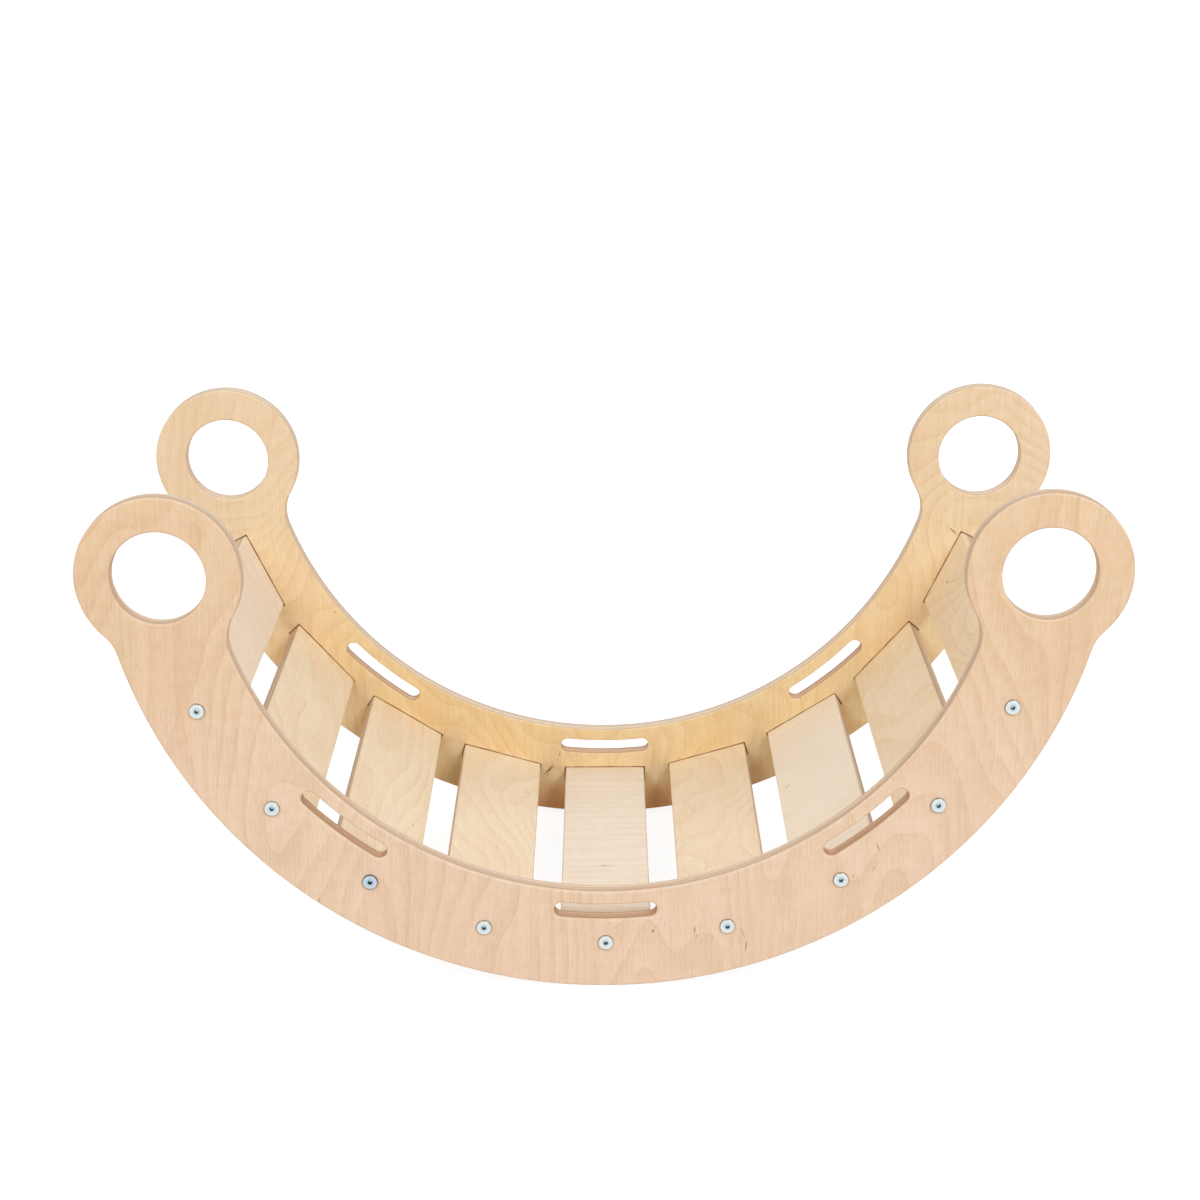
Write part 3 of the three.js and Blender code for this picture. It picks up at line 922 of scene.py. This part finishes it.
def slat_mesh():
    """A slat about its middle: width along X, length along Y, and its nut bores open at -Z."""
    bm = bmesh.new()
    section = rounded_box(SLAT_WIDTH, SLAT_THICKNESS, SLAT_EDGE_ROUND)
    ends = [add_ring(bm, section, side * SLAT_LENGTH / 2) for side in (-1, 1)]
    add_strip(bm, *ends)
    for end in ends:
        add_cap(bm, end)
    cutters = []
    for side in (-1, 1):
        reach = side * (SLAT_LENGTH / 2 + CUT_OVERRUN)
        stop = side * (BOLT_SEAT - BOLT_LENGTH - CUT_OVERRUN)
        cutters.append(cylinder(SHANK_RADIUS + BOLT_CLEARANCE, reach, stop))
        bore = cylinder(NUT_RADIUS + NUT_CLEARANCE, -NUT_LENGTH / 2 - NUT_CLEARANCE,
                        SLAT_THICKNESS / 2 + CUT_OVERRUN)
        bore.transform(Matrix.Translation((0, side * NUT_PLACE, 0)) @ Matrix.Rotation(-QUARTER_TURN, 4, "X"))
        cutters.append(bore)
    return subtract(finish_mesh(bm, "slat"), cutters)


def bolt_mesh():
    """A bolt along Y, with the underside of its head at Y = 0 and its head towards -Y."""
    bm = bmesh.new()
    section = [(HEAD_RADIUS - depth, y - HEAD_HEIGHT) for depth, y in quarter_round(HEAD_ROUND)]
    section += [
        (HEAD_RADIUS, 0),
        (SHANK_RADIUS, 0),
        (SHANK_RADIUS, BOLT_LENGTH - TIP_CHAMFER),
        (SHANK_RADIUS - TIP_CHAMFER, BOLT_LENGTH),
    ]
    head, tip = lathe(bm, section, ROUND_SIDES)
    hexagon = arc(Vector((0, 0)), HEX_RADIUS, FULL_TURN, 0, FULL_TURN / 6)[1:]
    mouth = add_ring(bm, hexagon, -HEAD_HEIGHT)
    bottom = add_ring(bm, hexagon, HEX_DEPTH - HEAD_HEIGHT)
    add_cap(bm, head, mouth)
    add_strip(bm, mouth, bottom, smooth=False)
    add_cap(bm, bottom)
    add_cap(bm, tip)
    return arrises(finish_mesh(bm, "bolt"))


def nut_mesh():
    """A barrel nut along Z, with its cross hole along Y and its driver slot at -Z."""
    half = NUT_LENGTH / 2
    bm = bmesh.new()
    section = [(NUT_RADIUS - NUT_CHAMFER, -half), (NUT_RADIUS, NUT_CHAMFER - half),
               (NUT_RADIUS, half - NUT_CHAMFER), (NUT_RADIUS - NUT_CHAMFER, half)]
    for ring in lathe(bm, section, ROUND_SIDES):
        add_cap(bm, ring)
    barrel = finish_mesh(bm, "nut")
    barrel.transform(Matrix.Rotation(QUARTER_TURN, 4, "X"))
    across = NUT_RADIUS + CUT_OVERRUN
    hole = cylinder(SHANK_RADIUS + NUT_CLEARANCE, -across, across)
    bm = bmesh.new()
    bmesh.ops.create_cube(bm, size=1)
    slot = finish_mesh(bm, "cutter")
    size = Vector((DRIVER_SLOT_WIDTH, 2 * across, 2 * DRIVER_SLOT_DEPTH))
    slot.transform(Matrix.Translation((0, 0, -half)) @ Matrix.Diagonal((*size, 1)))
    return subtract(barrel, [hole, slot])


def add_piece(name, mesh, materials, place, node):
    """A piece that stands for a CAD node, with a mesh and materials of its own."""
    piece = bpy.data.objects.new(name, mesh.copy())
    bpy.context.scene.collection.objects.link(piece)
    for material in materials:
        piece.data.materials.append(material)
    piece.matrix_world = place
    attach(piece, BODY)
    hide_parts(node)


def mark(across, along, width, length, lean, strength):
    """A knot or fleck: its middle and size in metres, and how far it leans over to the right in degrees."""
    return {"place": (across, along), "width": width, "length": length, "lean": lean, "strength": strength}


# Marks seen on the front panel's outer face, on the rear panel's inner face and on the slats' upper faces
OUTER_MARKS = (
    mark(0.0474, 0.0607, 0.0026, 0.0046, 20, 0.95), mark(0.0500, 0.0650, 0.0016, 0.0090, 28, 0.40),
    mark(0.0890, 0.0620, 0.0020, 0.0110, 5, 0.75), mark(0.0912, 0.0550, 0.0018, 0.0070, -10, 0.55),
    mark(0.0590, 0.0680, 0.0014, 0.0060, 0, 0.35), mark(0.1405, 0.0430, 0.0022, 0.0160, 6, 0.75),
    mark(0.1370, 0.0580, 0.0035, 0.0180, -22, 0.25), mark(0.2695, 0.1510, 0.0018, 0.0120, -20, 0.80),
    mark(0.2662, 0.1280, 0.0022, 0.0080, 28, 0.50), mark(0.2457, 0.1200, 0.0018, 0.0070, -4, 0.50),
    mark(-0.2850, 0.0965, 0.0022, 0.0060, -15, 0.50), mark(0.0868, 0.0100, 0.0024, 0.0040, 0, 0.45),
)
INNER_MARKS = (
    mark(-0.0655, 0.0535, 0.0044, 0.0210, 44, 0.95), mark(-0.0530, 0.0730, 0.0020, 0.0090, 10, 0.60),
    mark(-0.0560, 0.0660, 0.0016, 0.0060, 0, 0.45), mark(-0.0668, 0.0475, 0.0028, 0.0036, 0, 0.70),
    mark(-0.3103, 0.2512, 0.0030, 0.0060, 25, 0.50), mark(0.3985, 0.3450, 0.0026, 0.0180, -48, 0.80),
    mark(0.4165, 0.3560, 0.0016, 0.0200, 2, 0.28), mark(0.4070, 0.3520, 0.0014, 0.0100, 3, 0.25),
    mark(0.2312, 0.1746, 0.0014, 0.0080, 0, 0.50), mark(-0.2944, 0.1551, 0.0030, 0.0050, 0, 0.25),
)
SLAT_MARKS = {
    2: (mark(0.0189, 0.1006, 0.0020, 0.0100, 20, 0.45),),
    3: (mark(0.0312, -0.0683, 0.0024, 0.0120, -15, 0.45), mark(-0.0133, 0.1500, 0.0014, 0.0160, 0, 0.25)),
    4: (mark(0.0034, -0.0494, 0.0018, 0.0100, -20, 0.35),),
    5: (mark(-0.0642, -0.0015, 0.0044, 0.0110, 0, 0.55), mark(-0.0642, -0.0015, 0.0050, 0.0340, 0, 0.22)),
    6: (mark(-0.0222, 0.0580, 0.0016, 0.0120, 0, 0.35), mark(-0.0344, -0.0232, 0.0024, 0.0060, 0, 0.40),
        mark(0.0248, -0.0654, 0.0016, 0.0160, 25, 0.35)),
    7: (mark(0.0348, -0.0340, 0.0036, 0.0130, 40, 0.45),),
    8: (mark(0.0242, 0.1706, 0.0020, 0.0220, 12, 0.25),),
    9: (mark(-0.0030, 0.1603, 0.0036, 0.0072, 0, 0.95),),
}

# Looks of the veneers: how far the grain sways and ripples, in metres; the hills that bend the year rings, in
# waves per metre; year rings per hill and per metre; and the strength of each pattern
PLAIN_LOOK = {
    "sway": 0.04, "ripple": 0.005, "hills": (6.0, 1.7, 1), "rings": 24, "straight": 30,
    "lines": 0.26, "season": 0.35, "blush": 0.4, "mottle": 1.0, "flame": 0.7, "bands": 0.35, "streaks": 1.6,
    "fibres": 1.6, "pores": 0.05,
}
WAVY_LOOK = dict(PLAIN_LOOK, sway=0.05, ripple=0.008, hills=(5.0, 3.2, 1), rings=28, straight=18,
                 lines=0.28)
SWIRL_LOOK = dict(PLAIN_LOOK, ripple=0.009, hills=(5.0, 2.5, 1), rings=22, straight=24, lines=0.28)
CALM_LOOK = dict(PLAIN_LOOK, sway=0.06, hills=(7.0, 1.5, 1), rings=9, straight=60, lines=0.2, mottle=0.7,
                 blush=0.15)
FAINT_LOOK = dict(CALM_LOOK, rings=14, straight=30, lines=0.11, season=0.2, mottle=1.1)

# Axes across the grain, along it and through the plies, then tones and look of each slat
SLAT_LOOKS = {
    1: ("YXZ", SLAT_TAN, FAINT_LOOK), 2: ("XYZ", SLAT_WARM, PLAIN_LOOK), 3: ("XYZ", SLAT_WARM, PLAIN_LOOK),
    4: ("XYZ", SLAT_FAIR, SWIRL_LOOK), 5: ("YXZ", SLAT_PALE, CALM_LOOK), 6: ("XYZ", SLAT_FAIR, WAVY_LOOK),
    7: ("YXZ", SLAT_WHITE, FAINT_LOOK), 8: ("XYZ", SLAT_DEEP, PLAIN_LOOK), 9: ("XYZ", SLAT_DEEP, WAVY_LOOK),
}
PANEL_LOOKS = {"front": PLAIN_LOOK, "rear": WAVY_LOOK}

# Tones of the panels' ends, and the heights between which they set in
PANEL_ENDS = ((PANEL_OUTER_ENDS, PANEL_INNER_ENDS), 0.15, 0.45)

# Seeds that give each piece a figure of its own
PANEL_SEEDS = {"front": 3, "rear": 14}
SLAT_SEED = 40
SLAT_SEED_STEP = 7


def mirrored_mark(spot):
    across, along = spot["place"]
    return dict(spot, place=(-across, along), lean=-spot["lean"])


def turned_to(side):
    """The turn of a piece that is made for the front, for its place at this end."""
    return Matrix.Rotation(math.pi if side > 0 else 0, 4, "Z")


def make_panels():
    mesh = panel_mesh()
    middle = -(panel_low.y + panel_high.y) / 2
    housing = housing_shade_wood()
    marks = {"front": (OUTER_MARKS, ()), "rear": ((), [mirrored_mark(spot) for spot in INNER_MARKS])}
    for end, side in ENDS.items():
        sawn, routed = (
            plywood(f"birch_panel_{end}_{cut}", "XZY", PANEL_THICKNESS, PANEL_PLIES,
                    (PANEL_OUTER, PANEL_INNER), PANEL_LOOKS[end], PANEL_SEEDS[end], marks[end], PANEL_ENDS,
                    housed=True, edge_tones=tones)
            for cut, tones in (("sawn", CUT_EDGE), ("routed", ROUTED_EDGE))
        )
        place = Matrix.Translation((0, side * middle, 0)) @ turned_to(side)
        add_piece(f"panel_{end}", mesh, (sawn, routed, housing), place, f"side_panel_{end}")


def make_stations():
    """Each slat with its bolts and nuts, turned to its place in the arch."""
    slat, bolt, nut = slat_mesh(), bolt_mesh(), nut_mesh()
    inner_face = -panel_high.y
    for number, turn in zip(SLAT_NUMBERS, slat_turns()):
        order, tone, look = SLAT_LOOKS[number]
        centre = point_at(SLAT_RADIUS, turn)
        station = Matrix.Translation((centre.x, 0, centre.y)) @ Matrix.Rotation(-turn, 4, "Y")
        wood = plywood(f"birch_slat_{number}", order, SLAT_THICKNESS, SLAT_PLIES, (tone, tone), look,
                       SLAT_SEED + SLAT_SEED_STEP * number, ((), SLAT_MARKS.get(number, ())),
                       buried=("Y", inner_face))
        add_piece(f"slat_board_{number}", slat, [wood], station, f"slat_{number}")
        for end, side in ENDS.items():
            seat = station @ Matrix.Translation((0, side * BOLT_SEAT, 0)) @ turned_to(side)
            tones = BLUE_ZINC if (end, number) == ("front", 3) else BOLT_ZINC
            plated = zinc(f"zinc_bolt_{end}_{number}", "XZY", tones, HEAD_RADIUS - HEAD_ROUND,
                          HEAD_RADIUS - HEAD_ROUND / 3, HEX_RADIUS, number + side / 3)
            add_piece(f"bolt_head_{end}_{number}", bolt, [plated], seat, f"bolt_{end}_{number}")
            seat = station @ Matrix.Translation((0, side * NUT_PLACE, 0))
            plated = zinc(f"zinc_nut_{end}_{number}", "XYZ", NUT_ZINC, NUT_RADIUS - NUT_CHAMFER, NUT_RADIUS,
                          DRIVER_SLOT_WIDTH / 2, number - side / 3)
            add_piece(f"barrel_{end}_{number}", nut, [plated], seat, f"barrel_nut_{end}_{number}")


make_camera()
make_world()
make_lights()
make_floor()
make_panels()
make_stations()

bpy.context.scene.view_settings.view_transform = "Standard"
